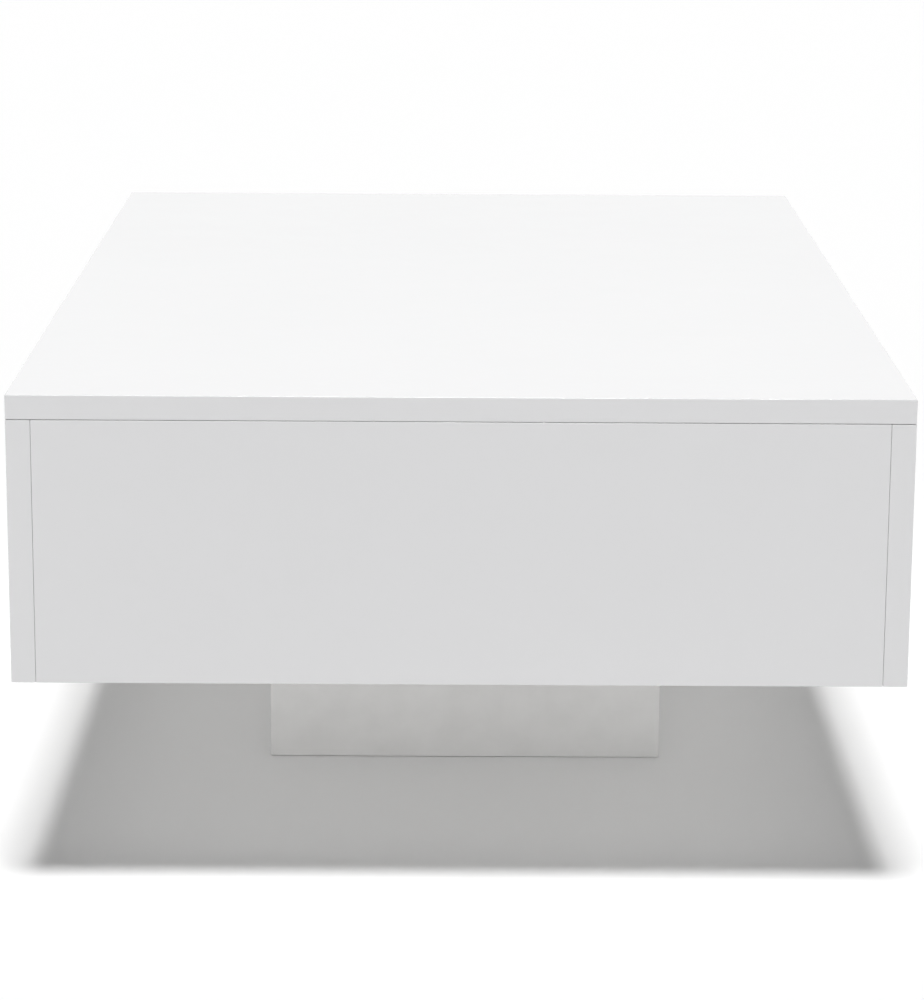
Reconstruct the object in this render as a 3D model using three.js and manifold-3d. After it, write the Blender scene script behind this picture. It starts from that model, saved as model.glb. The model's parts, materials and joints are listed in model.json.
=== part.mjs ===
// Lift top coffee table: a gloss white box on a small plinth. Its one-piece top rises and comes
// forward, level all the way, on two sprung parallel-arm lifts screwed inside the short ends.
// Millimetres, +Z up. The origin is on the floor under the centre of the table. Y runs along the
// table, with the front end at -Y. X runs across it, towards the side that the top comes out over.
import * as THREE from "three";
import { mergeVertices } from "three/addons/utils/BufferGeometryUtils.js";
import Module from "manifold-3d";

const wasm = await Module();
wasm.setup();

// -------------------------------- driving dimensions
const TABLE = { length: 850, width: 550, height: 310 };
const BOARD = 15; // thickness of every board
const SEAM = 0.3; // gap in a butt joint between two boards
const LID_GAP = 0.4; // daylight between the closed top and the walls
// The plinth is set off the middle, towards the side that the raised top loads.
const PLINTH = { length: 320, width: 270, height: 130, offset: 5 };
const BLOCK = { size: 25 }; // square batten in each corner of the plinth
const GLIDE = { radius: 10, sunk: 2, proud: 0.3 }; // let into the lower end of a batten
const BUMPER = { radius: 4, sunk: 1.6, proud: 0.2, fromEnd: 20 }; // let into a side wall's top edge
const NOTCH = { width: 120, depth: 14, radius: 12 }; // finger notch in one wall's top edge

const PLATE = 2.5; // steel of the brackets and rails
const PLAY = 0.3; // running clearance between steel pieces
const ARM = { length: 190, halfWidth: 11, thickness: 4, tail: 30, tailHalfWidth: 9 };
const CLOSED_ANGLE = THREE.MathUtils.degToRad(168); // arm direction in XZ, counted from +X towards +Z
const SWEEP = THREE.MathUtils.degToRad(95); // how far the arms turn to the raised top
const ARM_STEP = { x: 90, z: 16 }; // the lead arm's pivots are this far ahead of and above the trail arm's
const LEAD_BASE_X = 149;
const LID_PIVOT_DROP = 20; // lead pivot under the top's lower face
const PIVOT = { radius: 4, headRadius: 7.5, headHeight: 2 };
const SCREW = { radius: 1.9, headRadius: 4, headHeight: 2.2, length: 13 };
const SPRING = { radius: 6.5, wire: 1.1, anchorX: -158, fixedNeck: 18, movingNeck: 30, ribs: 12 };
const SPRING_STUD = { radius: 3, flangeRadius: 4.6, flangeHeight: 2, past: 3.5 }; // past the spring's middle
const STOP = { radius: 4, stemRadius: 2.5, along: 20 };

// -------------------------------- levels and places worked out from them
const halfWidth = TABLE.width / 2;
const halfLength = TABLE.length / 2;
const lidBottom = TABLE.height - BOARD;
const wallTop = lidBottom - LID_GAP;
const wallBottom = PLINTH.height;
const innerX = halfWidth - BOARD;
const innerY = halfLength - BOARD;

// Depth of each layer of a lift, counted inwards from the end wall's inner face.
const plateDepth = [0, PLATE];
const armDepth = [PLATE + 1, PLATE + 1 + ARM.thickness];
const railDepth = [armDepth[1] + 1, armDepth[1] + 1 + PLATE];
const springDepth = 10;

// Pivot centres in XZ, with the top closed.
const reach = [ARM.length * Math.cos(CLOSED_ANGLE), ARM.length * Math.sin(CLOSED_ANGLE)];
const leadLid = [LEAD_BASE_X + reach[0], lidBottom - LID_PIVOT_DROP];
const leadBase = [LEAD_BASE_X, leadLid[1] - reach[1]];
const trailLid = [leadLid[0] - ARM_STEP.x, leadLid[1] - ARM_STEP.z];
const trailBase = [leadBase[0] - ARM_STEP.x, leadBase[1] - ARM_STEP.z];
// The trail arm's tail points as far ahead of straight down when closed as behind it when raised,
// so that the spring lies level at both ends of the travel.
const tailAngle = 1.5 * Math.PI + SWEEP / 2;
const springPin = [
  trailBase[0] + ARM.tail * Math.cos(tailAngle),
  trailBase[1] + ARM.tail * Math.sin(tailAngle),
];
const springAnchor = [SPRING.anchorX, springPin[1]];
// The raised lead arm lies against the stop.
const openAngle = CLOSED_ANGLE - SWEEP;
const stopOffset = ARM.halfWidth + STOP.radius + PLAY;
const openStop = [
  leadBase[0] + STOP.along * Math.cos(openAngle) + stopOffset * Math.sin(openAngle),
  leadBase[1] + STOP.along * Math.sin(openAngle) - stopOffset * Math.cos(openAngle),
];

const bracket = { rear: -176, front: 179, bottom: 170, shelf: 212, flange: 22 };
const bracketScrews = [
  [-146, 184],
  [-20, 184],
  [115, 184],
  [163, 188],
];
const rail = { rear: -216, front: 134, drop: 18, flange: 24, screwDepth: 22 };
const railScrews = [-190, -41, 108];

// -------------------------------- materials
const material = (color, roughness, metalness = 0) =>
  new THREE.MeshStandardMaterial({ color, roughness, metalness });
const glossWhite = material(0xf4f4f4, 0.12);
const satinWhite = material(0xeceae6, 0.45);
const rawTimber = material(0xc9a877, 0.8);
const darkFelt = material(0x55524e, 0.95);
const clearRubber = material(0xd8dcdc, 0.3);
const blackSteel = material(0x24262a, 0.5, 0.4);
const zincSteel = material(0xc2c4c4, 0.32, 1);
const springSteel = material(0x9a9c9e, 0.35, 1);

const table = new THREE.Group();

function add(name, geometry, finish, at = [0, 0, 0]) {
  const mesh = new THREE.Mesh(geometry, finish);
  mesh.name = name;
  mesh.position.set(...at);
  table.add(mesh);
  return mesh;
}

// -------------------------------- shape helpers
const ROUND = 16; // sides of a pin or a pivot hole
const FINE = 10; // sides of a screw or of a spring's coil

// A box between two corners, in the table's frame.
function block(x0, x1, y0, y1, z0, z1) {
  return new THREE.BoxGeometry(x1 - x0, y1 - y0, z1 - z0).translate(
    (x0 + x1) / 2,
    (y0 + y1) / 2,
    (z0 + z1) / 2,
  );
}

function outline(points) {
  return new THREE.Shape(points.map(([x, y]) => new THREE.Vector2(x, y)));
}

function roundHole(shape, [x, y], radius) {
  shape.holes.push(new THREE.Path().absarc(x, y, radius, 0, 2 * Math.PI, true));
}

// A slot with round ends, long along the shape's first axis.
function slotHole(shape, [x, y], length, radius) {
  const half = length / 2 - radius;
  const slot = new THREE.Path();
  slot.absarc(x + half, y, radius, Math.PI / 2, -Math.PI / 2, true);
  slot.absarc(x - half, y, radius, -Math.PI / 2, -1.5 * Math.PI, true);
  slot.closePath();
  shape.holes.push(slot);
}

// A flat bar with round ends, from one point to another.
function bar([ax, ay], [bx, by], radius) {
  const turn = Math.atan2(by - ay, bx - ax);
  const shape = new THREE.Shape();
  shape.absarc(bx, by, radius, turn - Math.PI / 2, turn + Math.PI / 2);
  shape.absarc(ax, ay, radius, turn + Math.PI / 2, turn + 1.5 * Math.PI);
  shape.closePath();
  return shape;
}

function extrude(shape, depth, curveSegments = ROUND / 2) {
  return new THREE.ExtrudeGeometry(shape, { depth, bevelEnabled: false, curveSegments });
}

// Pieces of a lift are drawn in XZ. `end` is -1 at the table's front end and 1 at its rear end.
const depthToY = (end, depth) => end * (innerY - depth);

function upright(shape, end, [near, far]) {
  const ys = [depthToY(end, near), depthToY(end, far)];
  const standing = new THREE.Matrix4().makeBasis(
    new THREE.Vector3(1, 0, 0),
    new THREE.Vector3(0, 0, 1),
    new THREE.Vector3(0, -1, 0),
  );
  return extrude(shape, far - near)
    .applyMatrix4(standing)
    .translate(0, Math.max(...ys), 0);
}

// A turned piece from a profile of [radius, height] along +Y, from its lowest point to its highest.
function turned(profile, sides = ROUND) {
  return new THREE.LatheGeometry(
    profile.map(([r, h]) => new THREE.Vector2(r, h)),
    sides,
  );
}

// A turned piece across a lift: its profile's height is the depth from the end wall.
function turnedAcross(profile, end, [x, z], sides = ROUND) {
  const geometry = turned(profile, sides);
  if (end > 0) geometry.rotateX(Math.PI);
  return geometry.translate(x, depthToY(end, 0), z);
}

function turnedUp(profile, [x, y, z], sides = ROUND) {
  return turned(profile, sides).rotateX(Math.PI / 2).translate(x, y, z);
}

// The profile of a plain cylinder between two heights.
function roundPlug(radius, [low, high]) {
  return [
    [0, low],
    [radius, low],
    [radius, high],
    [0, high],
  ];
}

function solid(geometry) {
  const bare = new THREE.BufferGeometry();
  bare.setAttribute("position", geometry.getAttribute("position"));
  if (geometry.index) bare.setIndex(geometry.index);
  const merged = mergeVertices(bare, 1e-4);
  return new wasm.Manifold(
    new wasm.Mesh({
      numProp: 3,
      vertProperties: merged.attributes.position.array,
      triVerts: new Uint32Array(merged.index.array),
    }),
  );
}

function geometryOf(manifold) {
  const mesh = manifold.getMesh();
  const geometry = new THREE.BufferGeometry();
  geometry.setAttribute("position", new THREE.BufferAttribute(mesh.vertProperties, 3));
  geometry.setIndex(new THREE.BufferAttribute(mesh.triVerts, 1));
  return geometry;
}

const joined = (...parts) => geometryOf(parts.map(solid).reduce((a, b) => a.add(b)));
const drilled = (part, ...tools) => geometryOf(tools.map(solid).reduce((a, b) => a.subtract(b), solid(part)));

// -------------------------------- plinth: four boards, corner battens, felt glides
const plinthX = PLINTH.width / 2;
const plinthY = PLINTH.length / 2;
const plinthZ = [GLIDE.proud, PLINTH.height];
const plinthPlace = [PLINTH.offset, 0, 0];

// One board of the plinth, between two corners in its width and length.
function plinthBoard(name, x0, x1, y0, y1) {
  add(`plinth_board_${name}`, block(x0, x1, y0, y1, ...plinthZ), satinWhite, plinthPlace);
}

plinthBoard("front", -plinthX, plinthX, -plinthY, -plinthY + BOARD);
plinthBoard("rear", -plinthX, plinthX, plinthY - BOARD, plinthY);
const plinthSideY = plinthY - BOARD - SEAM;
plinthBoard("left", -plinthX, -plinthX + BOARD, -plinthSideY, plinthSideY);
plinthBoard("right", plinthX - BOARD, plinthX, -plinthSideY, plinthSideY);

const corners = [
  [-1, -1],
  [1, -1],
  [-1, 1],
  [1, 1],
];
const glideTop = GLIDE.proud + GLIDE.sunk;
corners.forEach(([sx, sy], i) => {
  const outerX = sx * (plinthX - BOARD - SEAM);
  const outerY = sy * (plinthY - BOARD - SEAM);
  const xs = [outerX, outerX - sx * BLOCK.size].sort((a, b) => a - b);
  const ys = [outerY, outerY - sy * BLOCK.size].sort((a, b) => a - b);
  const centre = [outerX - (sx * BLOCK.size) / 2, outerY - (sy * BLOCK.size) / 2, 0];
  const recess = roundPlug(GLIDE.radius + PLAY, [-1, glideTop]);
  const batten = drilled(block(...xs, ...ys, ...plinthZ), turnedUp(recess, centre));
  const glide = turnedUp(roundPlug(GLIDE.radius, [0, glideTop]), centre);
  add(`plinth_block_${i + 1}`, batten, rawTimber, plinthPlace);
  add(`plinth_glide_${i + 1}`, glide, darkFelt, plinthPlace);
});

// -------------------------------- box: two long walls, two end walls, a bottom
// The blind holes for the bumpers in one side wall's top edge.
function bumperHoles(side) {
  const hole = roundPlug(BUMPER.radius + PLAY, [-BUMPER.sunk, 1]);
  const x = side * (halfWidth - BOARD / 2);
  return [-1, 1].map((end) => turnedUp(hole, [x, end * (halfLength - BUMPER.fromEnd), wallTop]));
}
const leftWall = block(-halfWidth, -innerX, -halfLength, halfLength, wallBottom, wallTop);
add("side_panel_left", drilled(leftWall, ...bumperHoles(-1)), glossWhite);

// The wall on the lifting side has a finger notch in the middle of its top edge. It is drawn in YZ.
function notchedWall() {
  const { width, depth, radius } = NOTCH;
  const floor = wallTop - depth;
  const shape = new THREE.Shape();
  shape.moveTo(-halfLength, wallBottom);
  shape.lineTo(halfLength, wallBottom);
  shape.lineTo(halfLength, wallTop);
  shape.lineTo(width / 2, wallTop);
  shape.lineTo(width / 2, floor + radius);
  shape.absarc(width / 2 - radius, floor + radius, radius, 0, -Math.PI / 2, true);
  shape.lineTo(-width / 2 + radius, floor);
  shape.absarc(-width / 2 + radius, floor + radius, radius, -Math.PI / 2, -Math.PI, true);
  shape.lineTo(-width / 2, wallTop);
  shape.lineTo(-halfLength, wallTop);
  shape.closePath();
  const acrossX = new THREE.Matrix4().makeBasis(
    new THREE.Vector3(0, 1, 0),
    new THREE.Vector3(0, 0, 1),
    new THREE.Vector3(1, 0, 0),
  );
  return extrude(shape, BOARD, 6).applyMatrix4(acrossX).translate(innerX, 0, 0);
}
add("side_panel_right", drilled(notchedWall(), ...bumperHoles(1)), glossWhite);

const fittedX = innerX - SEAM;
const fittedY = innerY - SEAM;
add("bottom_panel", block(-fittedX, fittedX, -fittedY, fittedY, wallBottom, wallBottom + BOARD), satinWhite);

const pilotRadius = SCREW.radius + PLAY;
const pilotDepth = SCREW.length - PLATE + 1;
const ENDS = [
  ["front", -1],
  ["rear", 1],
];
for (const [label, end] of ENDS) {
  const ys = [depthToY(end, 0), depthToY(end, -BOARD)].sort((a, b) => a - b);
  const pilot = roundPlug(pilotRadius, [-pilotDepth, 1]);
  const board = block(-fittedX, fittedX, ...ys, wallBottom, wallTop);
  const pilots = bracketScrews.map((at) => turnedAcross(pilot, end, at, FINE));
  add(`end_panel_${label}`, drilled(board, ...pilots), glossWhite);
}

corners.forEach(([sx, sy], i) => {
  const dome = [
    [0, -BUMPER.sunk],
    [BUMPER.radius, -BUMPER.sunk],
    [BUMPER.radius, BUMPER.proud - 0.6],
    [BUMPER.radius * 0.7, BUMPER.proud],
    [0, BUMPER.proud],
  ];
  const at = [sx * (halfWidth - BOARD / 2), sy * (halfLength - BUMPER.fromEnd), wallTop];
  add(`lid_bumper_${i + 1}`, turnedUp(dome, at), clearRubber);
});

// -------------------------------- lifts: base bracket, pivots, stop, screws
// A screw's profile runs from its point, in the board, to the top of its pan head.
function screwProfile(seat) {
  const { radius, headRadius, headHeight, length } = SCREW;
  return [
    [0, seat - length],
    [radius, seat - length + 3],
    [radius, seat],
    [headRadius, seat],
    [headRadius, seat + headHeight * 0.45],
    [headRadius * 0.6, seat + headHeight],
    [0, seat + headHeight],
  ];
}

// The stud that holds a spring's end loop, from the plate it stands in to the flange past the loop.
function studProfile(from) {
  const neck = springDepth + SPRING_STUD.past;
  return [
    [0, from],
    [SPRING_STUD.radius, from],
    [SPRING_STUD.radius, neck],
    [SPRING_STUD.flangeRadius, neck],
    [SPRING_STUD.flangeRadius, neck + SPRING_STUD.flangeHeight],
    [0, neck + SPRING_STUD.flangeHeight],
  ];
}

function bracketOutline() {
  const { rear, front, bottom, shelf } = bracket;
  const shape = outline([
    [rear, bottom],
    [front, bottom],
    [front, openStop[1] + 4],
    [front - 5, openStop[1] + 9],
    [openStop[0] - 9, openStop[1] + 9],
    [leadBase[0] - 14, leadBase[1] + 14],
    [trailBase[0] + 12, trailBase[1] + 17],
    [trailBase[0] - 14, trailBase[1] + 17],
    [trailBase[0] - 42, shelf],
    [rear + 8, shelf],
    [rear, shelf - 8],
  ]);
  bracketScrews.forEach((at) => roundHole(shape, at, SCREW.radius + PLAY));
  [leadBase, trailBase].forEach((at) => roundHole(shape, at, PIVOT.radius + PLAY));
  roundHole(shape, springAnchor, SPRING_STUD.radius + PLAY);
  roundHole(shape, openStop, STOP.stemRadius + PLAY);
  return shape;
}

function bracketFlange(end) {
  const ys = [depthToY(end, 0), depthToY(end, bracket.flange)].sort((a, b) => a - b);
  const shape = outline([
    [bracket.rear, ys[0]],
    [bracket.front, ys[0]],
    [bracket.front, ys[1]],
    [bracket.rear, ys[1]],
  ]);
  const slotY = depthToY(end, bracket.flange / 2 + 1);
  [-120, 0, 120].forEach((x) => slotHole(shape, [x, slotY], 26, 2.5));
  return extrude(shape, PLATE, 4).translate(0, 0, bracket.bottom);
}

for (const [label, end] of ENDS) {
  const plate = upright(bracketOutline(), end, plateDepth);
  add(`lift_bracket_${label}`, joined(plate, bracketFlange(end)), blackSteel);

  bracketScrews.forEach((at, i) => {
    const screw = turnedAcross(screwProfile(PLATE), end, at, FINE);
    add(`bracket_screw_${label}_${i + 1}`, screw, zincSteel);
  });

  const seat = armDepth[1] + PLAY;
  const basePivot = [
    [0, PLAY],
    [PIVOT.radius, PLAY],
    [PIVOT.radius, seat],
    [PIVOT.headRadius, seat],
    [PIVOT.headRadius, seat + PIVOT.headHeight * 0.5],
    [PIVOT.headRadius * 0.75, seat + PIVOT.headHeight],
    [0, seat + PIVOT.headHeight],
  ];
  add(`base_pivot_lead_${label}`, turnedAcross(basePivot, end, leadBase), zincSteel);
  add(`base_pivot_trail_${label}`, turnedAcross(basePivot, end, trailBase), zincSteel);

  const stop = [
    [0, PLAY],
    [STOP.stemRadius, PLAY],
    [STOP.stemRadius, PLATE + PLAY],
    [STOP.radius, PLATE + PLAY],
    [STOP.radius, armDepth[1]],
    [0, armDepth[1]],
  ];
  add(`open_stop_${label}`, turnedAcross(stop, end, openStop), zincSteel);

  add(`spring_anchor_${label}`, turnedAcross(studProfile(PLAY), end, springAnchor), zincSteel);
}

// -------------------------------- arms, and the pin that each spring pulls on
function armPlate(shapes, holes, end) {
  const blanks = shapes.map((shape) => solid(upright(shape, end, armDepth)));
  const through = [armDepth[0] - 1, armDepth[1] + 1];
  const drills = holes.map(([at, radius]) => solid(turnedAcross(roundPlug(radius, through), end, at)));
  const blank = blanks.reduce((a, b) => a.add(b));
  return geometryOf(drills.reduce((a, b) => a.subtract(b), blank));
}

for (const [label, end] of ENDS) {
  const pivotHole = PIVOT.radius + PLAY;
  const leadHoles = [
    [leadBase, pivotHole],
    [leadLid, pivotHole],
  ];
  add(`lead_arm_${label}`, armPlate([bar(leadBase, leadLid, ARM.halfWidth)], leadHoles, end), blackSteel);

  const trailShapes = [
    bar(trailBase, trailLid, ARM.halfWidth),
    bar(trailBase, springPin, ARM.tailHalfWidth),
  ];
  const trailHoles = [
    [trailBase, pivotHole],
    [trailLid, pivotHole],
    [springPin, SPRING_STUD.radius + PLAY],
  ];
  add(`trail_arm_${label}`, armPlate(trailShapes, trailHoles, end), blackSteel);

  add(`spring_pin_${label}`, turnedAcross(studProfile(armDepth[0] + PLAY), end, springPin), zincSteel);
}

// -------------------------------- assist springs, stretched while the top is down
function assistSpring(end) {
  const y = depthToY(end, springDepth);
  const z = springPin[1];
  const loopRadius = SPRING_STUD.radius + 1 + SPRING.wire;
  const coil = [springAnchor[0] + SPRING.fixedNeck, springPin[0] - SPRING.movingNeck];
  const pitch = (coil[1] - coil[0]) / SPRING.ribs;
  const profile = [[0, coil[0]]];
  for (let i = 0; i < SPRING.ribs; i++) {
    profile.push([SPRING.radius - SPRING.wire, coil[0] + i * pitch]);
    profile.push([SPRING.radius, coil[0] + (i + 0.5) * pitch]);
  }
  profile.push([SPRING.radius - SPRING.wire, coil[1]], [0, coil[1]]);
  const alongX = (geometry) => geometry.rotateZ(-Math.PI / 2).translate(0, y, z);
  const neck = (from, to) => alongX(turned(roundPlug(SPRING.wire, [from, to]), 6));
  const loop = (x) =>
    new THREE.TorusGeometry(loopRadius, SPRING.wire, 6, 14).rotateX(Math.PI / 2).translate(x, y, z);
  return joined(
    alongX(turned(profile, FINE)),
    neck(springAnchor[0] + loopRadius, coil[0] + 1),
    neck(coil[1] - 1, springPin[0] - loopRadius),
    loop(springAnchor[0]),
    loop(springPin[0]),
  );
}
for (const [label, end] of ENDS) add(`assist_spring_${label}`, assistSpring(end), springSteel);

// -------------------------------- lid: the top, its two rails, their pivots and screws
const lidPilot = roundPlug(pilotRadius, [-1, pilotDepth]);
const lidPilots = ENDS.flatMap(([, end]) =>
  railScrews.map((x) => turnedUp(lidPilot, [x, depthToY(end, rail.screwDepth), lidBottom], FINE)),
);
const top = block(-halfWidth, halfWidth, -halfLength, halfLength, lidBottom, TABLE.height);
add("lid_panel", drilled(top, ...lidPilots), glossWhite);

// The hanging flange is deeper around its two pivots.
function railOutline() {
  const shallow = lidBottom - rail.drop;
  const shape = outline([
    [rail.rear, lidBottom],
    [rail.rear, shallow + 4],
    [rail.rear + 4, shallow],
    [trailLid[0] - 24, shallow],
    [trailLid[0] - 14, trailLid[1] - 13],
    [trailLid[0] + 14, trailLid[1] - 13],
    [leadLid[0] + 10, leadLid[1] - 13],
    [leadLid[0] + 20, shallow],
    [rail.front - 4, shallow],
    [rail.front, shallow + 4],
    [rail.front, lidBottom],
  ]);
  [leadLid, trailLid].forEach((at) => roundHole(shape, at, PIVOT.radius + PLAY));
  return shape;
}

function railFlange(end) {
  const ys = [depthToY(end, railDepth[0]), depthToY(end, railDepth[0] + rail.flange)].sort((a, b) => a - b);
  const shape = outline([
    [rail.rear, ys[0]],
    [rail.front, ys[0]],
    [rail.front, ys[1]],
    [rail.rear, ys[1]],
  ]);
  const holeY = depthToY(end, rail.screwDepth);
  railScrews.forEach((x) => roundHole(shape, [x, holeY], SCREW.radius + PLAY));
  [-115, 34].forEach((x) => slotHole(shape, [x, holeY], 26, 2.5));
  return extrude(shape, PLATE, 4).translate(0, 0, lidBottom - PLATE);
}

for (const [label, end] of ENDS) {
  const hanging = upright(railOutline(), end, railDepth);
  add(`lid_rail_${label}`, joined(hanging, railFlange(end)), blackSteel);

  railScrews.forEach((x, i) => {
    const at = [x, depthToY(end, rail.screwDepth), lidBottom];
    const upwards = turned(screwProfile(PLATE), FINE).rotateX(-Math.PI / 2);
    add(`rail_screw_${label}_${i + 1}`, upwards, zincSteel, at);
  });

  const head = armDepth[0] - PLAY;
  const tailEnd = railDepth[1] + PLAY;
  const lidPivot = [
    [0, head - PIVOT.headHeight],
    [PIVOT.headRadius, head - PIVOT.headHeight],
    [PIVOT.headRadius, head],
    [PIVOT.radius, head],
    [PIVOT.radius, tailEnd],
    [PIVOT.headRadius * 0.85, tailEnd],
    [PIVOT.headRadius * 0.6, tailEnd + 1.5],
    [0, tailEnd + 1.5],
  ];
  add(`lid_pivot_lead_${label}`, turnedAcross(lidPivot, end, leadLid), zincSteel);
  add(`lid_pivot_trail_${label}`, turnedAcross(lidPivot, end, trailLid), zincSteel);
}

export default table;
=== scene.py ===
import json
import math

import bpy
from mathutils import Matrix, Vector

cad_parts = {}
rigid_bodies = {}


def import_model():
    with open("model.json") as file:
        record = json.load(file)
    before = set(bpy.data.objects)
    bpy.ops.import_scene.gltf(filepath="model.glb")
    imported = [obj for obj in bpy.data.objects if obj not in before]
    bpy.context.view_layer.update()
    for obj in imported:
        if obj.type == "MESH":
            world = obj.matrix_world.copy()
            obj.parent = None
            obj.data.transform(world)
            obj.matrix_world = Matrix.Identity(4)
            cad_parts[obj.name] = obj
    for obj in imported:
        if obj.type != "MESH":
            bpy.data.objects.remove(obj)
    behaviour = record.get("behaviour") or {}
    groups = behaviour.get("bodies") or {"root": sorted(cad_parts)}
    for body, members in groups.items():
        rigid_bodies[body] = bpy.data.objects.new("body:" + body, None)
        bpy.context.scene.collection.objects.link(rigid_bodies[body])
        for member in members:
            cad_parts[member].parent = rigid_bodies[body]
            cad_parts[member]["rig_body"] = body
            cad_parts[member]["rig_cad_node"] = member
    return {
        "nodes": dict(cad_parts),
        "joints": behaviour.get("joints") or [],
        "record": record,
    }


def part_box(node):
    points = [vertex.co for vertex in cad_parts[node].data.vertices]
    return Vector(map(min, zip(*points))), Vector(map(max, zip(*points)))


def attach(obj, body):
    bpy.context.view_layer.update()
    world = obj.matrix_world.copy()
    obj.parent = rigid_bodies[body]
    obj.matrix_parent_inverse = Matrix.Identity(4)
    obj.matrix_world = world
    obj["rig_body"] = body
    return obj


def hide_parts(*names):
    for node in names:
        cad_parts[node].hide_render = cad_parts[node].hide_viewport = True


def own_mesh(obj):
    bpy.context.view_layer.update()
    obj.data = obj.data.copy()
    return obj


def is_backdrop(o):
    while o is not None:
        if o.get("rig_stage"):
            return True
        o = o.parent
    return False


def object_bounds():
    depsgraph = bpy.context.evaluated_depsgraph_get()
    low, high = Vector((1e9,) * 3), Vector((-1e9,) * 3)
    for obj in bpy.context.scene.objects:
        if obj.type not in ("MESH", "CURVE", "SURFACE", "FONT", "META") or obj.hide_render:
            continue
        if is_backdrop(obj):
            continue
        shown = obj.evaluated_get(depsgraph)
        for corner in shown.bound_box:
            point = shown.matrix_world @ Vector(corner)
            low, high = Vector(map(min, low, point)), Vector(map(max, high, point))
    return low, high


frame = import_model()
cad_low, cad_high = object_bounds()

# ---------------------------------------------------------------------------
# Studio. The table stands alone on a wide white floor, in a room that is
# bright low down, with a tall lit backdrop beyond the table's far end. A wide
# lamp hangs far overhead. The camera looks at the near end from two metres.
# ---------------------------------------------------------------------------
camera_distance = 2.0357  # from the short end
camera_height = 0.7282
camera_offset = -0.0082  # sideways from the table's middle
camera_tilt = math.radians(13.31)
camera_yaw = math.radians(0.17)
camera_roll = math.radians(-0.35)
camera_lens = 124.27  # millimetres, for a sensor 36 wide
camera_reach = 60
camera_data = bpy.data.cameras.new("camera")
camera_data.lens = camera_lens
camera_data.sensor_width = 36
camera_data.clip_end = camera_reach
camera = bpy.data.objects.new("camera", camera_data)
camera.location = (camera_offset, cad_low.y - camera_distance, camera_height)
camera.rotation_euler = (math.pi / 2 - camera_tilt, camera_roll, -camera_yaw)
bpy.context.scene.collection.objects.link(camera)
bpy.context.scene.camera = camera
bpy.context.scene.view_settings.view_transform = "Standard"

# How bright the room is at each height, from level with the floor at 0 to straight up at 1.
room_light = ((0.0, 1.0), (0.14, 1.0), (0.22, 1.3), (0.30, 0.08), (1.0, 0.06))
backdrop_light = 0.8
backdrop_start = 0.5  # how squarely a direction has to face the backdrop, from 0 to 1, to catch its edge
backdrop_full = 0.85
world = bpy.data.worlds.new("white_room")
world.use_nodes = True
room_nodes = world.node_tree.nodes
room_links = world.node_tree.links
room_place = room_nodes.new("ShaderNodeTexCoord")
room_axes = room_nodes.new("ShaderNodeSeparateXYZ")
room_links.new(room_place.outputs["Generated"], room_axes.inputs["Vector"])
room_ramp = room_nodes.new("ShaderNodeValToRGB")
while len(room_ramp.color_ramp.elements) < len(room_light):
    room_ramp.color_ramp.elements.new(0.5)
for stop, (height, light) in zip(room_ramp.color_ramp.elements, room_light):
    stop.position = height
    stop.color = (light, light, light, 1.0)
room_links.new(room_axes.outputs["Z"], room_ramp.inputs["Fac"])
backdrop = room_nodes.new("ShaderNodeMapRange")
backdrop.inputs["From Min"].default_value = backdrop_start
backdrop.inputs["From Max"].default_value = backdrop_full
backdrop.inputs["To Max"].default_value = backdrop_light
room_links.new(room_axes.outputs["Y"], backdrop.inputs["Value"])
brighter = room_nodes.new("ShaderNodeMath")
brighter.operation = "MAXIMUM"
room_links.new(room_ramp.outputs["Color"], brighter.inputs[0])
room_links.new(backdrop.outputs["Result"], brighter.inputs[1])
room_links.new(brighter.outputs["Value"], room_nodes["Background"].inputs["Strength"])
room_nodes["Background"].inputs["Color"].default_value = (1.0, 1.0, 1.0, 1.0)
bpy.context.scene.world = world

lamp_strength = 2.6
lamp_width = math.radians(14)  # as seen from the table
lamp_lean = math.radians(10)  # off upright, towards the table's far end
lamp_data = bpy.data.lights.new("overhead_lamp", "SUN")
lamp_data.energy = lamp_strength
lamp_data.angle = lamp_width
lamp = bpy.data.objects.new("overhead_lamp", lamp_data)
lamp.rotation_euler = (lamp_lean, 0, 0)
bpy.context.scene.collection.objects.link(lamp)

floor_radius = 25
bpy.ops.object.select_all(action="DESELECT")
bpy.ops.mesh.primitive_circle_add(
    vertices=64,
    radius=floor_radius,
    fill_type="NGON",
    location=(0, 0, cad_low.z),
)
floor = bpy.context.object
floor.name = "floor"
floor_paint = bpy.data.materials.new("floor_paint")
floor_paint.use_nodes = True
floor_shader = floor_paint.node_tree.nodes["Principled BSDF"]
floor_shader.inputs["Base Color"].default_value = (0.98, 0.98, 0.98, 1.0)
floor_shader.inputs["Roughness"].default_value = 0.9
floor_shader.inputs["Specular IOR Level"].default_value = 0.0
floor.data.materials.append(floor_paint)
floor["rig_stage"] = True

# ---------------------------------------------------------------------------
# Plinth boards. Four fibreboards in satin white foil, glued to battens in
# the corners. The foil is a little warm, with a faint grained mottle, and its
# cut edges are eased by hand.
# ---------------------------------------------------------------------------
def new_finish(name, base, roughness, metallic=0.0):
    """A finish and its shader, with the values that are the same all over."""
    finish = bpy.data.materials.new(name)
    finish.use_nodes = True
    shader = finish.node_tree.nodes["Principled BSDF"]
    shader.inputs["Base Color"].default_value = (*base, 1.0)
    shader.inputs["Roughness"].default_value = roughness
    shader.inputs["Metallic"].default_value = metallic
    return finish, shader


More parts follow.
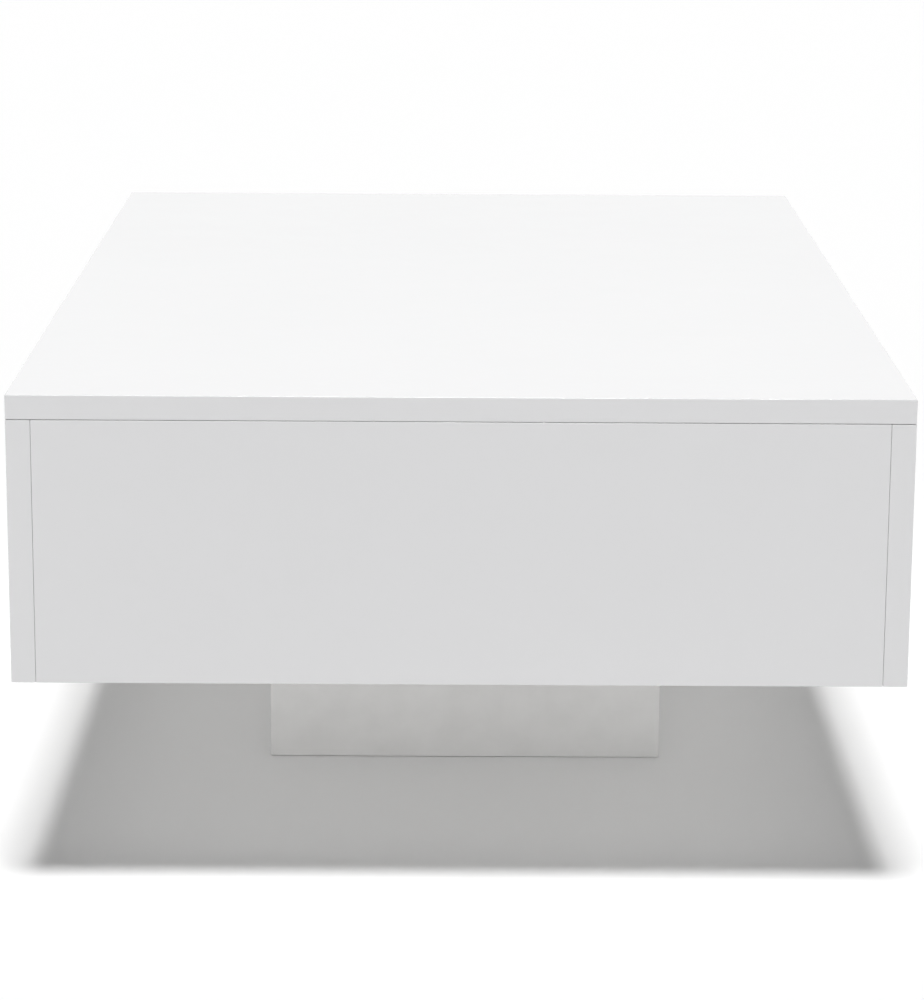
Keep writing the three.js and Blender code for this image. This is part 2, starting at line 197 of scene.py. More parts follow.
def mottle(finish, scale, detail=3.0, stretch=(1, 1, 1)):
    """Cloudy variation with this many clouds to the metre. A stretch below 1 draws them out that way."""
    nodes = finish.node_tree.nodes
    place = nodes.new("ShaderNodeTexCoord")
    mapping = nodes.new("ShaderNodeMapping")
    mapping.inputs["Scale"].default_value = stretch
    clouds = nodes.new("ShaderNodeTexNoise")
    clouds.inputs["Scale"].default_value = scale
    clouds.inputs["Detail"].default_value = detail
    finish.node_tree.links.new(place.outputs["Object"], mapping.inputs["Vector"])
    finish.node_tree.links.new(mapping.outputs["Vector"], clouds.inputs["Vector"])
    return clouds.outputs["Fac"]


def tint(finish, shader, source, dark, light, low=0.3, high=0.7):
    """Colours the shader from dark to light as the source goes from low to high."""
    ramp = finish.node_tree.nodes.new("ShaderNodeValToRGB")
    ramp.color_ramp.elements[0].position = low
    ramp.color_ramp.elements[0].color = (*dark, 1.0)
    ramp.color_ramp.elements[1].position = high
    ramp.color_ramp.elements[1].color = (*light, 1.0)
    finish.node_tree.links.new(source, ramp.inputs["Fac"])
    finish.node_tree.links.new(ramp.outputs["Color"], shader.inputs["Base Color"])


def sheen_range(finish, shader, source, smooth, rough):
    """Varies the roughness between two values as the source goes from 0.3 to 0.7."""
    spread = finish.node_tree.nodes.new("ShaderNodeMapRange")
    spread.inputs["From Min"].default_value = 0.3
    spread.inputs["From Max"].default_value = 0.7
    spread.inputs["To Min"].default_value = smooth
    spread.inputs["To Max"].default_value = rough
    finish.node_tree.links.new(source, spread.inputs["Value"])
    finish.node_tree.links.new(spread.outputs["Result"], shader.inputs["Roughness"])


def relief(finish, shader, source, height, strength=1.0):
    """Raises the surface by the source, up to this height in metres."""
    bump = finish.node_tree.nodes.new("ShaderNodeBump")
    bump.inputs["Strength"].default_value = strength
    bump.inputs["Distance"].default_value = height
    finish.node_tree.links.new(source, bump.inputs["Height"])
    finish.node_tree.links.new(bump.outputs["Normal"], shader.inputs["Normal"])


def satin_foil():
    finish, shader = new_finish("satin_foil", (0.90, 0.895, 0.885), 0.42)
    tint(finish, shader, mottle(finish, 55, 6), (0.88, 0.875, 0.865), (0.92, 0.915, 0.905))
    sheen_range(finish, shader, mottle(finish, 90, 4), 0.34, 0.5)
    relief(finish, shader, mottle(finish, 700, 2), 0.00006)
    return finish


def select_only(piece):
    bpy.ops.object.select_all(action="DESELECT")
    piece.select_set(True)
    bpy.context.view_layer.objects.active = piece


def ease_edges(piece, width, segments=3, angle=35):
    """Rounds every edge that is sharper than the angle, and shades the roundings into the flat faces."""
    select_only(piece)
    rounding = piece.modifiers.new("rounding", "BEVEL")
    rounding.width = width
    rounding.segments = segments
    rounding.limit_method = "ANGLE"
    rounding.angle_limit = math.radians(angle)
    rounding.use_clamp_overlap = True
    bpy.ops.object.modifier_apply(modifier=rounding.name)
    bpy.ops.object.shade_smooth_by_angle(angle=math.radians(angle))
    flatness = piece.modifiers.new("flatness", "WEIGHTED_NORMAL")
    flatness.keep_sharp = True
    bpy.ops.object.modifier_apply(modifier=flatness.name)


def block(name, low, high):
    """A sawn rectangular piece between two corners."""
    bpy.ops.object.select_all(action="DESELECT")
    bpy.ops.mesh.primitive_cube_add(size=1, location=(low + high) / 2, scale=high - low)
    piece = bpy.context.object
    piece.name = name
    bpy.ops.object.transform_apply(location=True, rotation=True, scale=True)
    return piece


foil = satin_foil()
foil_edge = 0.0004
glued_joint = 0.0001  # what is left of the gap between two boards once they are drawn together
behind_front_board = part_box("plinth_board_front")[1].y + glued_joint
ahead_of_rear_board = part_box("plinth_board_rear")[0].y - glued_joint
for place in ("front", "rear", "left", "right"):
    node = f"plinth_board_{place}"
    low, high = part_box(node)
    if place in ("left", "right"):
        low = Vector((low.x, behind_front_board, low.z))
        high = Vector((high.x, ahead_of_rear_board, high.z))
    board = block(f"foiled_{node}", low, high)
    ease_edges(board, foil_edge)
    board.data.materials.append(foil)
    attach(board, "carcass")
    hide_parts(node)

# ---------------------------------------------------------------------------
# Plinth battens. Lengths of sawn pine stand in the corners, from the floor
# glides let into their lower ends up to the bottom of the box. Each is glued
# to both boards beside it.
# ---------------------------------------------------------------------------
def sawn_pine():
    finish, shader = new_finish("sawn_pine", (0.62, 0.44, 0.25), 0.75)
    grain = mottle(finish, 90, 6, stretch=(1, 1, 0.06))
    tint(finish, shader, grain, (0.50, 0.32, 0.16), (0.72, 0.54, 0.33))
    relief(finish, shader, grain, 0.0004)
    return finish


def cut_away(piece, cutter):
    """Cuts the cutter's shape out of the piece, and puts the cutter away."""
    select_only(piece)
    cut = piece.modifiers.new("cut", "BOOLEAN")
    cut.operation = "DIFFERENCE"
    cut.solver = "EXACT"
    cut.object = cutter
    bpy.ops.object.modifier_apply(modifier=cut.name)
    bpy.data.objects.remove(cutter)


def upright_drill(centre, radius, low_z, high_z):
    """A round cutter on an upright line through the centre, between two heights."""
    bpy.ops.object.select_all(action="DESELECT")
    bpy.ops.mesh.primitive_cylinder_add(
        vertices=48,
        radius=radius,
        depth=high_z - low_z,
        location=(centre.x, centre.y, (low_z + high_z) / 2),
    )
    drill = bpy.context.object
    bpy.ops.object.transform_apply(location=True, rotation=True, scale=True)
    return drill


def middle(node):
    low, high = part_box(node)
    return (low + high) / 2


pine = sawn_pine()
corners = (1, 2, 3, 4)
glide_low, glide_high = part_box("plinth_glide_1")
glide_radius = (glide_high.x - glide_low.x) / 2
recess_play = 0.0003
batten_edge = 0.0008
past_face = 0.001  # how far a cutter stands out of the face that it cuts
for corner in corners:
    node = f"plinth_block_{corner}"
    batten = block(f"sawn_{node}", *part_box(node))
    spot = middle(f"plinth_glide_{corner}")
    cut_away(batten, upright_drill(spot, glide_radius + recess_play, glide_low.z - past_face, glide_high.z))
    ease_edges(batten, batten_edge, segments=2)
    batten.data.materials.append(pine)
    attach(batten, "carcass")
    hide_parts(node)

# ---------------------------------------------------------------------------
# Floor glides. Discs of pressed felt are glued into recesses in the battens'
# lower ends, and just stand clear of the boards.
# ---------------------------------------------------------------------------
def turned(name, profile, steps=40):
    """A round piece about Z, from its outline of (radius, height), lower end of the axis first."""
    bpy.ops.object.select_all(action="DESELECT")
    bpy.ops.mesh.primitive_plane_add(size=0.001, location=(0, 0, 0))
    piece = bpy.context.object
    piece.name = name
    bpy.ops.object.mode_set(mode="EDIT")
    bpy.ops.mesh.select_mode(type="VERT")
    bpy.ops.mesh.select_all(action="SELECT")
    bpy.ops.mesh.merge(type="CENTER")
    bpy.ops.transform.translate(value=(profile[0][0], 0, profile[0][1]))
    for (radius, height), (next_radius, next_height) in zip(profile, profile[1:]):
        step = (next_radius - radius, 0, next_height - height)
        bpy.ops.mesh.extrude_region_move(TRANSFORM_OT_translate={"value": step})
    bpy.ops.mesh.select_all(action="SELECT")
    bpy.ops.mesh.spin(steps=steps, angle=2 * math.pi, center=(0, 0, 0), axis=(0, 0, 1))
    bpy.ops.mesh.select_all(action="SELECT")
    bpy.ops.mesh.remove_doubles(threshold=0.000001)
    bpy.ops.mesh.normals_make_consistent(inside=False)
    bpy.ops.object.mode_set(mode="OBJECT")
    return piece


def put(piece, where):
    """Takes a piece made at the origin to its place, and leaves its object unturned at the origin."""
    piece.matrix_world = where
    select_only(piece)
    bpy.ops.object.transform_apply(location=True, rotation=True, scale=True)
    return piece


def copy_of(model, name):
    """Another of the same piece, with its own mesh."""
    piece = model.copy()
    piece.data = model.data.copy()
    piece.name = name
    bpy.context.scene.collection.objects.link(piece)
    return piece


def felt():
    finish, shader = new_finish("felt", (0.10, 0.095, 0.09), 0.95)
    fibres = mottle(finish, 900, 6)
    tint(finish, shader, fibres, (0.06, 0.055, 0.05), (0.17, 0.16, 0.15))
    relief(finish, shader, fibres, 0.0005)
    shader.inputs["Sheen Weight"].default_value = 0.4
    return finish


glide_height = glide_high.z - glide_low.z
glide_edge = 0.0002
glide = turned("glide_model", [(0, 0), (glide_radius, 0), (glide_radius, glide_height), (0, glide_height)])
ease_edges(glide, glide_edge)
glide.data.materials.append(felt())
for corner in corners:
    node = f"plinth_glide_{corner}"
    disc = copy_of(glide, f"felt_{node}")
    where = middle(node)
    put(disc, Matrix.Translation((where.x, where.y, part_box(node)[0].z)))
    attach(disc, "carcass")
    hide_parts(node)
bpy.data.objects.remove(glide)

# ---------------------------------------------------------------------------
# Box walls. Two long boards run the table's full length, with the end boards
# between them. All are fibreboard sprayed with white gloss lacquer, which has
# the slight ripple of sprayed paint and softens every edge.
# ---------------------------------------------------------------------------
def gloss_lacquer():
    finish, shader = new_finish("gloss_lacquer", (0.785, 0.785, 0.793), 0.2)
    tint(finish, shader, mottle(finish, 4, 2), (0.780, 0.780, 0.788), (0.790, 0.790, 0.798))
    sheen_range(finish, shader, mottle(finish, 9, 3), 0.19, 0.22)
    relief(finish, shader, mottle(finish, 160, 1), 0.00002)
    shader.inputs["Coat Weight"].default_value = 0.5
    shader.inputs["Coat Roughness"].default_value = 0.08
    return finish


lacquer = gloss_lacquer()
lacquer_edge = 0.0005
seam_under_top = 0.00025  # the top is let down on its bumpers until only a hair line is left
wall_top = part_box("lid_panel")[0].z - seam_under_top
bumper_low, bumper_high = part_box("lid_bumper_1")
bumper_radius = (bumper_high.x - bumper_low.x) / 2
bumper_hole_depth = 0.003


def side_wall(place):
    """A plain long board, with the blind holes for its bumpers."""
    node = f"side_panel_{place}"
    low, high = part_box(node)
    high.z = wall_top
    wall = block(f"lacquered_{node}", low, high)
    for corner in corners:
        spot = middle(f"lid_bumper_{corner}")
        if low.x < spot.x < high.x:
            hole_floor = wall_top - bumper_hole_depth
            cut_away(wall, upright_drill(spot, bumper_radius + recess_play, hole_floor, wall_top + past_face))
    return wall


left_wall = side_wall("left")
ease_edges(left_wall, lacquer_edge)
left_wall.data.materials.append(lacquer)
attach(left_wall, "carcass")
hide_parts("side_panel_left")

# The finger notch, a little deeper than the space that the record states for the fingers.
openings = frame["record"]["physics"]["openings"]
notch_box = next(opening["box_m"] for opening in openings if opening["name"] == "finger_notch")
notch_half_width = 0.060
notch_corner = 0.012
notch_extra_depth = 0.001
notch_floor = notch_box[0][2] - notch_extra_depth
notch_cutter_excess = 0.01
same_place = 0.0001
right_wall = side_wall("right")
right_low, right_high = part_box("side_panel_right")
notch_cutter = block(
    "notch_cutter",
    Vector((right_low.x - notch_cutter_excess, -notch_half_width, notch_floor)),
    Vector((right_high.x + notch_cutter_excess, notch_half_width, right_high.z + 3 * notch_cutter_excess)),
)
select_only(notch_cutter)
bpy.ops.object.mode_set(mode="EDIT")
bpy.ops.mesh.select_all(action="DESELECT")
bpy.ops.object.mode_set(mode="OBJECT")
for edge in notch_cutter.data.edges:
    ends = [notch_cutter.data.vertices[i].co for i in edge.vertices]
    at_floor = all(abs(end.z - notch_floor) < same_place for end in ends)
    through_wall = abs(ends[0].y - ends[1].y) < same_place
    edge.select = at_floor and through_wall
bpy.ops.object.mode_set(mode="EDIT")
bpy.ops.mesh.select_mode(type="EDGE")
bpy.ops.mesh.bevel(offset=notch_corner, segments=8, affect="EDGES")
bpy.ops.object.mode_set(mode="OBJECT")
cut_away(right_wall, notch_cutter)
ease_edges(right_wall, lacquer_edge)
right_wall.data.materials.append(lacquer)
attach(right_wall, "carcass")
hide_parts("side_panel_right")

# ---------------------------------------------------------------------------
# End walls and their cam fittings. In each end of an end board, two blind
# holes hold zinc cams, which draw the board to the side walls. They are
# turned with a cross-tip screwdriver.
# ---------------------------------------------------------------------------
def zinc_plate():
    finish, shader = new_finish("zinc_plate", (0.60, 0.61, 0.61), 0.3, metallic=1.0)
    tint(finish, shader, mottle(finish, 130, 5), (0.50, 0.51, 0.52), (0.68, 0.68, 0.66))
    sheen_range(finish, shader, mottle(finish, 260, 4), 0.22, 0.42)
    relief(finish, shader, mottle(finish, 1500, 2), 0.00003)
    return finish


def cross_cutter(width, across, depth, top):
    """Two crossed wedges that narrow towards the tip, for a driver recess in a face at height top."""
    tip_share = 0.45
    arms = []
    for turn in (0, math.pi / 2):
        bpy.ops.object.select_all(action="DESELECT")
        bpy.ops.mesh.primitive_cube_add(size=1, location=(0, 0, top), rotation=(0, 0, turn))
        arm = bpy.context.object
        arm.scale = (across, width, 2 * depth)
        bpy.ops.object.transform_apply(location=True, rotation=True, scale=True)
        for vertex in arm.data.vertices:
            if vertex.co.z < top:
                vertex.co.x *= tip_share
                vertex.co.y *= tip_share
        arms.append(arm)
    select_only(arms[0])
    joining = arms[0].modifiers.new("joining", "BOOLEAN")
    joining.operation = "UNION"
    joining.solver = "EXACT"
    joining.object = arms[1]
    bpy.ops.object.modifier_apply(modifier=joining.name)
    bpy.data.objects.remove(arms[1])
    return arms[0]


zinc = zinc_plate()
cam_radius = 0.0073
cam_hole_radius = 0.0076
cam_depth = 0.0105
cam_hole_depth = 0.011
cam_hole_mouth = 0.002  # how far the drill stands out of the board
cam_from_end = 0.034
cam_heights = (0.160, 0.268)
cam_rim = 0.0009
rim_depth = 0.0002
dish_depth = 0.0007
cam_edge = 0.00015
cam = turned(
    "cam_model",
    [
        (0, -cam_depth),
        (cam_radius, -cam_depth),
        (cam_radius, -rim_depth),
        (cam_radius - cam_rim, -rim_depth),
        (cam_radius - cam_rim, -dish_depth),
        (0, -dish_depth),
    ],
)
cut_away(cam, cross_cutter(width=0.0017, across=0.0088, depth=0.0026, top=-dish_depth))
ease_edges(cam, cam_edge, segments=2)
cam.data.materials.append(zinc)
between_walls = (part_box("side_panel_left")[1].x + glued_joint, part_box("side_panel_right")[0].x - glued_joint)
for place, inward in (("front", 1), ("rear", -1)):
    node = f"end_panel_{place}"
    low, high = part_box(node)
    inner_face = high.y if inward > 0 else low.y
    low.x = between_walls[0]
    high = Vector((between_walls[1], high.y, wall_top))
    wall = block(f"lacquered_{node}", low, high)
    facing = Matrix.Rotation(-inward * math.pi / 2, 4, "X")
    for side, sign in (("left", -1), ("right", 1)):
        for level, height in zip(("low", "high"), cam_heights):
            spot = Matrix.Translation((sign * (high.x - cam_from_end), inner_face, height)) @ facing
            hole = turned(
                "cam_hole",
                [(0, -cam_hole_depth), (cam_hole_radius, -cam_hole_depth),
                 (cam_hole_radius, cam_hole_mouth), (0, cam_hole_mouth)],
            )
            put(hole, spot)
            cut_away(wall, hole)
            fitting = copy_of(cam, f"cam_{place}_{side}_{level}")
            put(fitting, spot)
            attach(fitting, "carcass")
    ease_edges(wall, lacquer_edge)
    wall.data.materials.append(lacquer)
    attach(wall, "carcass")
    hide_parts(node)
bpy.data.objects.remove(cam)

# ---------------------------------------------------------------------------
# Bottom board. One board in the same satin foil as the plinth lies between
# the four walls, flush with their lower edges.
# ---------------------------------------------------------------------------
bottom_low, bottom_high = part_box("bottom_panel")
bottom_low = Vector((between_walls[0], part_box("end_panel_front")[1].y + glued_joint, bottom_low.z))
bottom_high = Vector((between_walls[1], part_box("end_panel_rear")[0].y - glued_joint, bottom_high.z))
bottom = block("foiled_bottom_panel", bottom_low, bottom_high)
ease_edges(bottom, foil_edge)
bottom.data.materials.append(foil)
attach(bottom, "carcass")
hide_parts("bottom_panel")

# ---------------------------------------------------------------------------
# Bumpers. Clear soft plugs with domed tops are pressed into blind holes in
# the side walls' top edges, one near each corner. The closed top lands on them.
# ---------------------------------------------------------------------------
def clear_rubber():
    finish, shader = new_finish("clear_rubber", (0.78, 0.80, 0.80), 0.22)
    sheen_range(finish, shader, mottle(finish, 400, 3), 0.15, 0.35)
    relief(finish, shader, mottle(finish, 900, 2), 0.00004)
    shader.inputs["Transmission Weight"].default_value = 0.55
    return finish


bumper_height = bumper_high.z - bumper_low.z
dome_height = 0.0007
plug_edge = 0.0001
plug_height = bumper_height - dome_height
dome_steps = 5
dome_swing = 5 * math.pi / 12
plug_outline = [(0, 0), (bumper_radius, 0), (bumper_radius, plug_height)]
for step in range(1, dome_steps + 1):
    swing = step * math.pi / 12
    plug_outline.append((
        bumper_radius * (0.35 + 0.65 * math.cos(swing)),
        plug_height + dome_height * math.sin(swing) / math.sin(dome_swing),
    ))
plug_outline.append((0, bumper_height))
dome = turned("dome_model", plug_outline)
ease_edges(dome, plug_edge, segments=2, angle=50)
dome.data.materials.append(clear_rubber())
for corner in corners:
    node = f"lid_bumper_{corner}"
    bumper = copy_of(dome, f"soft_{node}")
    where = middle(node)
    put(bumper, Matrix.Translation((where.x, where.y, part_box(node)[0].z)))
    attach(bumper, "carcass")
    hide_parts(node)
bpy.data.objects.remove(dome)

# ---------------------------------------------------------------------------
# Lift brackets and lid rails. Both are angles stamped and bent from plate,
# with deburred edges and fine black powder coat.
# ---------------------------------------------------------------------------
def powder_coat():
    finish, shader = new_finish("powder_coat", (0.022, 0.023, 0.026), 0.5)
    tint(finish, shader, mottle(finish, 60, 5), (0.018, 0.019, 0.022), (0.030, 0.031, 0.034))
    sheen_range(finish, shader, mottle(finish, 300, 4), 0.40, 0.58)
    relief(finish, shader, mottle(finish, 1300, 2), 0.00012)
    return finish


def stamped_copy(node, name):
    """The plate's own shape, with its triangles merged into whole faces."""
    piece = frame["nodes"][node].copy()
    piece.data = frame["nodes"][node].data.copy()
    piece.parent = None
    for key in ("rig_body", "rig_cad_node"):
        del piece[key]
    piece.name = name
    piece.data.materials.clear()
    bpy.context.scene.collection.objects.link(piece)
    select_only(piece)
    bpy.ops.object.mode_set(mode="EDIT")
    bpy.ops.mesh.select_all(action="SELECT")
    bpy.ops.mesh.remove_doubles(threshold=0.000005)
    bpy.ops.mesh.dissolve_limited(angle_limit=math.radians(1))
    bpy.ops.object.mode_set(mode="OBJECT")
    return piece


coat = powder_coat()
plate_edge = 0.0005
for place in ("front", "rear"):
    for part, body in (("lift_bracket", "carcass"), ("lid_rail", "lid")):
        node = f"{part}_{place}"
        plate = stamped_copy(node, f"coated_{node}")
        ease_edges(plate, plate_edge, segments=2)
        plate.data.materials.append(coat)
        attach(plate, body)
        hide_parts(node)

# ---------------------------------------------------------------------------
# Arms. Flat bars with round ends swing on the brackets' pivots. A groove
# pressed along the middle stiffens each. The trail arms have a short tail.
# ---------------------------------------------------------------------------
def joined(piece, other):
    """Welds the other shape to the piece."""
    select_only(piece)
    weld = piece.modifiers.new("weld", "BOOLEAN")
    weld.operation = "UNION"
    weld.solver = "EXACT"
    weld.object = other
    bpy.ops.object.modifier_apply(modifier=weld.name)
    bpy.data.objects.remove(other)


def round_plate(name, centre, radius, low_y, high_y):
    """A round plate that faces along Y."""
    bpy.ops.object.select_all(action="DESELECT")
    bpy.ops.mesh.primitive_cylinder_add(
        vertices=48,
        radius=radius,
        depth=high_y - low_y,
        location=(centre.x, (low_y + high_y) / 2, centre.z),
        rotation=(math.pi / 2, 0, 0),
    )
    piece = bpy.context.object
    piece.name = name
    bpy.ops.object.transform_apply(location=True, rotation=True, scale=True)
    return piece


def bar(name, start, end, half_width, low_y, high_y):
    """A bar with round ends from one centre to another, flat across Y."""
    span = Vector((end.x - start.x, 0, end.z - start.z))
    centre = (start + end) / 2
    bpy.ops.object.select_all(action="DESELECT")
    bpy.ops.mesh.primitive_cube_add(
        size=1,
        location=(centre.x, (low_y + high_y) / 2, centre.z),
        rotation=(0, -math.atan2(span.z, span.x), 0),
        scale=(span.length, high_y - low_y, 2 * half_width),
    )
    piece = bpy.context.object
    piece.name = name
    bpy.ops.object.transform_apply(location=True, rotation=True, scale=True)
    for centre in (start, end):
        joined(piece, round_plate("round_end", centre, half_width, low_y, high_y))
    return piece


arm_half_width = 0.011
tail_half_width = 0.009
pivot_hole = 0.0043
stud_hole = 0.0033
groove_half_width = 0.0035
groove_depth = 0.0009
groove_from_pivot = 0.028
arm_edge = 0.0004
for place, inward in (("front", 1), ("rear", -1)):
    for part in ("lead", "trail"):
        node = f"{part}_arm_{place}"
        low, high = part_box(node)
        base = middle(f"base_pivot_{part}_{place}")
        tip = middle(f"lid_pivot_{part}_{place}")
        holes = [(base, pivot_hole), (tip, pivot_hole)]
        arm = bar(f"coated_{node}", base, tip, arm_half_width, low.y, high.y)
        if part == "trail":
            pin = middle(f"spring_pin_{place}")
            joined(arm, bar("tail", base, pin, tail_half_width, low.y, high.y))
            holes.append((pin, stud_hole))
        for centre, radius in holes:
            cut_away(arm, round_plate("hole", centre, radius, low.y - past_face, high.y + past_face))
        along = Vector((tip.x - base.x, 0, tip.z - base.z)).normalized() * groove_from_pivot
        shown_face = high.y if inward > 0 else low.y
        groove_ys = sorted((shown_face + inward * groove_depth, shown_face - inward * groove_depth))
        cut_away(arm, bar("groove", base + along, tip - along, groove_half_width, *groove_ys))
        ease_edges(arm, arm_edge, segments=2)
        arm.data.materials.append(coat)
        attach(arm, f"{part}_arms")
        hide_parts(node)

# ---------------------------------------------------------------------------
# Pivots, stops and spring studs. All are turned from steel bar and zinc
# plated. The pivots are riveted over, so they have low domed heads.
# ---------------------------------------------------------------------------
def across(place):
    """Turns a piece made up +Z to point from an end wall into the box."""
    return Matrix.Rotation(-math.pi / 2 if place == "front" else math.pi / 2, 4, "X")


def wall_face(place):
    low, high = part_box(f"end_panel_{place}")
    return high.y if place == "front" else low.y


def depths(node, place):
    """Where the node starts and stops, from the end wall's inner face. Inside the wall is below 0."""
    low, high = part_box(node)
    if place == "front":
        return low.y - wall_face(place), high.y - wall_face(place)
    return wall_face(place) - high.y, wall_face(place) - low.y


def pivot_outline(near, far, shank, near_head, far_head, head_height, crown=0.0006, dimple=0.0005):
    """A riveted pin from depth near to depth far, with a head of each radius, or 0 for none."""
    outline = [(0, near)]
    if near_head:
        outline += [(near_head * 0.7, near), (near_head, near + crown), (near_head, near + head_height),
                    (shank, near + head_height)]
    else:
        outline += [(shank, near)]
    if far_head:
        outline += [(shank, far - head_height), (far_head, far - head_height), (far_head, far - crown),
                    (far_head * 0.7, far), (far_head * 0.32, far), (far_head * 0.25, far - dimple),
                    (0, far - dimple)]
    else:
        outline += [(shank, far), (0, far)]
    return outline


def put_across(piece, node, place):
    """Takes a piece drawn by depth to the node's centre in XZ."""
    centre = middle(node)
    where = Matrix.Translation((centre.x, wall_face(place), centre.z)) @ across(place)
    put(piece, where)


shank_radius = 0.004
head_radius = 0.0075
head_height = 0.002
peened_radius = 0.0064
peened_height = 0.0015
pivot_edge = 0.0002
for place in ("front", "rear"):
    for part in ("lead", "trail"):
        node = f"base_pivot_{part}_{place}"
        near, far = depths(node, place)
        pivot = turned(f"zinc_{node}", pivot_outline(near, far, shank_radius, 0, head_radius, head_height))
        put_across(pivot, node, place)
        ease_edges(pivot, pivot_edge, segments=2)
        pivot.data.materials.append(zinc)
        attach(pivot, "carcass")
        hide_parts(node)

        node = f"lid_pivot_{part}_{place}"
        near, far = depths(node, place)
        outline = pivot_outline(near, far, shank_radius, head_radius, peened_radius, peened_height)
        pivot = turned(f"zinc_{node}", outline)
        put_across(pivot, node, place)
        ease_edges(pivot, pivot_edge, segments=2)
        pivot.data.materials.append(zinc)
        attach(pivot, "lid")
        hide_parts(node)

stem_radius = 0.0025
stop_radius = 0.004
stem_length = 0.0025
stud_radius = 0.003
stud_flange_radius = 0.0046
stud_flange_height = 0.002
stud_edge = 0.0003
for place in ("front", "rear"):
    node = f"open_stop_{place}"
    near, far = depths(node, place)
    shoulder = near + stem_length
    stop = turned(
        f"zinc_{node}",
        [(0, near), (stem_radius, near), (stem_radius, shoulder), (stop_radius, shoulder),
         (stop_radius, far), (0, far)],
    )
    put_across(stop, node, place)
    ease_edges(stop, stud_edge, segments=2)
    stop.data.materials.append(zinc)
    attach(stop, "carcass")
    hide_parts(node)

    for part, body in (("spring_anchor", "carcass"), ("spring_pin", "trail_arms")):
        node = f"{part}_{place}"
        near, far = depths(node, place)
        neck = far - stud_flange_height
        stud = turned(
            f"zinc_{node}",
            [(0, near), (stud_radius, near), (stud_radius, neck), (stud_flange_radius, neck),
             (stud_flange_radius, far), (0, far)],
        )
        put_across(stud, node, place)
        ease_edges(stud, stud_edge, segments=2)
        stud.data.materials.append(zinc)
        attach(stud, body)
        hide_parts(node)

# ---------------------------------------------------------------------------
# Assist springs. Each is one length of oiled steel wire, wound in a close
# coil with a long hook and loop at either end. It is stretched while the top
# is down, and draws back as the tail of the trail arm swings.
# ---------------------------------------------------------------------------
def spring_wire():
    finish, shader = new_finish("spring_wire", (0.34, 0.35, 0.36), 0.3, metallic=1.0)
    tint(finish, shader, mottle(finish, 200, 4), (0.26, 0.27, 0.28), (0.44, 0.44, 0.43))
    sheen_range(finish, shader, mottle(finish, 500, 3), 0.22, 0.4)
    relief(finish, shader, mottle(finish, 1800, 2), 0.00003)
    return finish


wire_radius = 0.0011
coil_radius = 0.0054
closed_pitch = 2.02  # from turn to turn with the coil closed, in wire radii
fixed_hook = 0.018
moving_hook = 0.030
steps_in_turn = 16
loop_play = 0.0009
loop_points = 15
loop_half_turn = 160  # degrees that the loop reaches round the stud, each way from its far side
past_loop = 0.003
past_coil = 0.004


def end_loop(centre, y, radius, way):
    """The open loop round a stud. It bulges along X the way it is given, and its gap faces the coil."""
    points = []
    for step in range(loop_points):
        angle = math.radians(-loop_half_turn + step * 2 * loop_half_turn / (loop_points - 1))
        across_stud = way * radius * math.cos(angle)
        points.append(Vector((centre.x + across_stud, y, centre.z + way * radius * math.sin(angle))))
    return points


wire_finish = spring_wire()
lift = next(joint for joint in frame["joints"] if joint["name"] == "lift")
swing = math.radians(max(lift["range_deg"]))
for place in ("front", "rear"):
    node = f"assist_spring_{place}"
    anchor = middle(f"spring_anchor_{place}")
    pin = middle(f"spring_pin_{place}")
    hub = middle(f"base_pivot_trail_{place}")
    y = middle(node).y
    open_pin = hub + Matrix.Rotation(swing, 3, "Y") @ (pin - hub)
    keep = (open_pin.x - anchor.x) / (pin.x - anchor.x)
    coil_start = anchor.x + fixed_hook
    coil_end = pin.x - moving_hook
    turns = round((coil_end - coil_start) * keep / (closed_pitch * wire_radius))
    loop_radius = stud_radius + wire_radius + loop_play
    route = end_loop(anchor, y, loop_radius, -1)
    route.append(Vector((anchor.x + loop_radius + past_loop, y, anchor.z)))
    route.append(Vector((coil_start - past_coil, y, anchor.z)))
    for step in range(turns * steps_in_turn + 1):
        turn = 2 * math.pi * step / steps_in_turn
        share = step / (turns * steps_in_turn)
        x = coil_start + share * (coil_end - coil_start)
        route.append(Vector((x, y + coil_radius * math.sin(turn), anchor.z + coil_radius * math.cos(turn))))
    route.append(Vector((coil_end + past_coil, y, anchor.z)))
    route.append(Vector((pin.x - loop_radius - past_loop, y, anchor.z)))
    route += end_loop(pin, y, loop_radius, 1)
    line = bpy.data.curves.new(f"wound_{node}", "CURVE")
    line.dimensions = "3D"
    line.bevel_depth = wire_radius
    line.bevel_resolution = 2
    line.use_fill_caps = True
    wire = line.splines.new("POLY")
    wire.points.add(len(route) - 1)
    for point, spot in zip(wire.points, route):
        point.co = (*spot, 1)
    spring = bpy.data.objects.new(f"wound_{node}", line)
    bpy.context.scene.collection.objects.link(spring)
    select_only(spring)
    bpy.ops.object.convert(target="MESH")
    spring = bpy.context.object
    bpy.ops.object.mode_set(mode="EDIT")
    bpy.ops.mesh.select_all(action="SELECT")
    bpy.ops.mesh.remove_doubles(threshold=0.000001)
    bpy.ops.mesh.normals_make_consistent(inside=False)
    bpy.ops.object.mode_set(mode="OBJECT")
    bpy.ops.object.shade_smooth_by_angle(angle=math.radians(50))
    spring.data.materials.append(wire_finish)
    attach(spring, "carcass")
    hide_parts(node)
    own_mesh(spring)

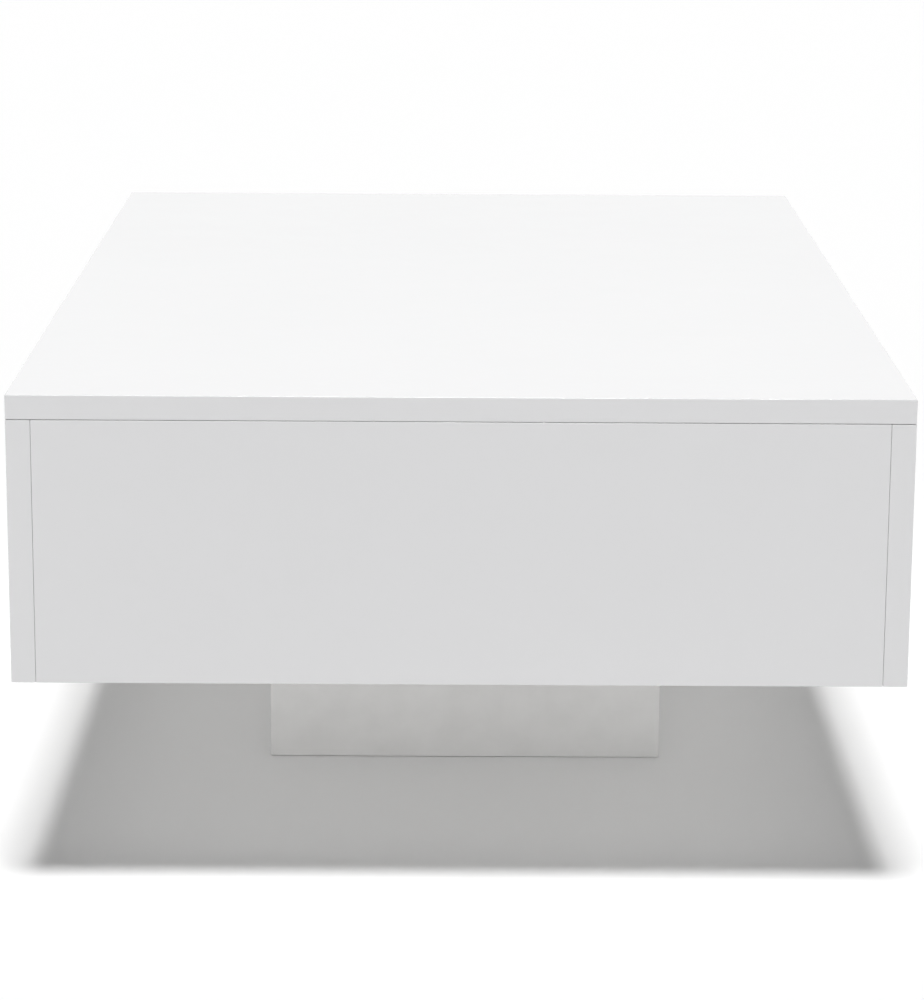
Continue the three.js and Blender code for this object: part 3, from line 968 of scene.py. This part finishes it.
# ---------------------------------------------------------------------------
# Screws. Zinc-plated, with a cross recess in a pan head. They hold the
# brackets to the end walls and the rails to the top.
# ---------------------------------------------------------------------------
screw_shank = 0.0019
screw_head = 0.004
screw_head_height = 0.0022
screw_length = 0.013
point_length = 0.003
thread_pitch = 0.0016
thread_rise = 0.0003
thread_ridges = 5
crown_steps = 5
screw_edge = 0.00008


def screw_outline():
    """From the point, up the thread, to the crown of the head. The head's seat is at height 0."""
    outline = [(0, -screw_length), (screw_shank * 0.8, -screw_length + point_length)]
    for ridge in range(thread_ridges):
        height = -screw_length + point_length + ridge * thread_pitch
        outline.append((screw_shank - thread_rise, height + thread_pitch * 0.35))
        outline.append((screw_shank, height + thread_pitch * 0.85))
    outline += [(screw_shank, 0), (screw_head, 0)]
    for step in range(crown_steps):
        angle = step * math.pi / 8 * 0.9
        crown_radius = screw_head * math.cos(angle * 0.55)
        outline.append((crown_radius, screw_head_height * (0.3 + 0.7 * math.sin(angle))))
    outline.append((0, screw_head_height))
    return outline


screw = turned("screw_model", screw_outline(), steps=28)
cut_away(screw, cross_cutter(width=0.0009, across=0.0044, depth=0.0017, top=screw_head_height))
ease_edges(screw, screw_edge, segments=1, angle=50)
screw.data.materials.append(zinc)
for place in ("front", "rear"):
    for number in (1, 2, 3, 4):
        node = f"bracket_screw_{place}_{number}"
        fixing = copy_of(screw, f"zinc_{node}")
        seat = depths(node, place)[1] - screw_head_height
        centre = middle(node)
        where = Matrix.Translation((centre.x, wall_face(place), centre.z)) @ across(place)
        put(fixing, where @ Matrix.Translation((0, 0, seat)))
        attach(fixing, "carcass")
        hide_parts(node)
    for number in (1, 2, 3):
        node = f"rail_screw_{place}_{number}"
        fixing = copy_of(screw, f"zinc_{node}")
        centre = middle(node)
        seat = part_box(node)[0].z + screw_head_height
        put(fixing, Matrix.Translation((centre.x, centre.y, seat)) @ Matrix.Rotation(math.pi, 4, "X"))
        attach(fixing, "lid")
        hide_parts(node)
bpy.data.objects.remove(screw)

# ---------------------------------------------------------------------------
# Top. One lacquered board, flush with the walls all round, screwed to the
# lid rails from below.
# ---------------------------------------------------------------------------
top = block("lacquered_lid_panel", *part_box("lid_panel"))
ease_edges(top, lacquer_edge)
top.data.materials.append(lacquer)
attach(top, "lid")
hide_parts("lid_panel")

low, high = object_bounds()
